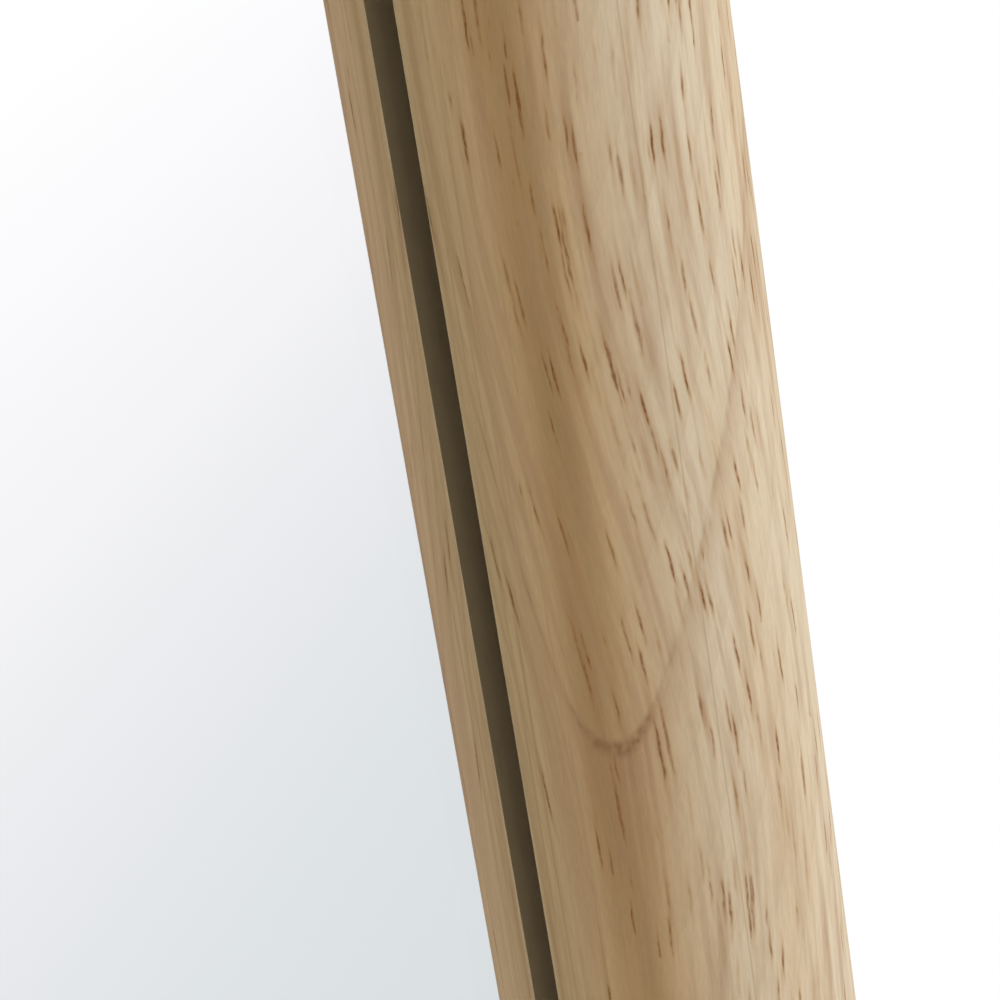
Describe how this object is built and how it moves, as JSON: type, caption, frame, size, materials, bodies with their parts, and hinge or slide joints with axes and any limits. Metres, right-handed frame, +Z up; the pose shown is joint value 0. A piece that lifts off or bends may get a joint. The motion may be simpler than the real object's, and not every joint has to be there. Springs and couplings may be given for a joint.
{
  "type": "full-length mirror",
  "caption": "Full-length mirror in a round-section wooden frame that leans back on a rear stand, which folds flat against it.",
  "frame": {"origin": "on the floor, at the middle of the object's width and of its depth with the stand open", "axes": "+Z up, +X across the mirror to the right as seen from the front, +Y from the glass to the rear stand"},
  "size_m": [0.5, 0.4406, 1.6162],
  "materials": {
    "post_wood": "rubberwood, turned, sanded and matt lacquered",
    "rail_wood": "rubberwood, turned, sanded and matt lacquered",
    "bead_wood": "planed rubberwood, matt lacquered",
    "stand_wood": "rubberwood, turned, sanded and matt lacquered",
    "dowel_wood": "fluted beech, glued",
    "mirror_glass": "clear float glass, silvered on the back",
    "hardboard": "pressed hardboard, smooth face out",
    "rubber": "moulded black rubber",
    "bracket_steel": "folded steel, powder coated",
    "black_screw": "blackened steel",
    "zinc_steel": "bright zinc plated",
    "nylon": "moulded natural nylon"
  },
  "bodies": {
    "mirror_frame": {"left_post": "post_wood", "right_post": "post_wood", "top_rail": "rail_wood", "bottom_rail": "rail_wood", "left_bead": "bead_wood", "right_bead": "bead_wood", "top_bead": "bead_wood", "bottom_bead": "bead_wood", "rail_dowels": "dowel_wood", "mirror_glass": "mirror_glass", "back_panel": "hardboard", "setting_blocks": "rubber", "left_post_foot": "rubber", "right_post_foot": "rubber", "left_bracket": "bracket_steel", "right_bracket": "bracket_steel", "bracket_screws": "black_screw", "bead_screws": "zinc_steel", "left_pivot_bolt": "zinc_steel", "right_pivot_bolt": "zinc_steel", "left_pivot_nut": "zinc_steel", "right_pivot_nut": "zinc_steel", "pivot_washers": "zinc_steel", "post_foot_screws": "zinc_steel"},
    "rear_stand": {"left_leg": "stand_wood", "right_leg": "stand_wood", "upper_stretcher": "stand_wood", "lower_stretcher": "stand_wood", "left_leg_bushes": "nylon", "right_leg_bushes": "nylon", "left_leg_foot": "rubber", "right_leg_foot": "rubber", "leg_foot_screws": "zinc_steel"}
  },
  "joints": [
    {"name": "stand_fold", "type": "hinge", "parent": "mirror_frame", "child": "rear_stand", "pos_m": [0, 0.07255, 1.11739], "axis": [-1, 0, 0], "range_deg": [0, 19]}
  ]
}
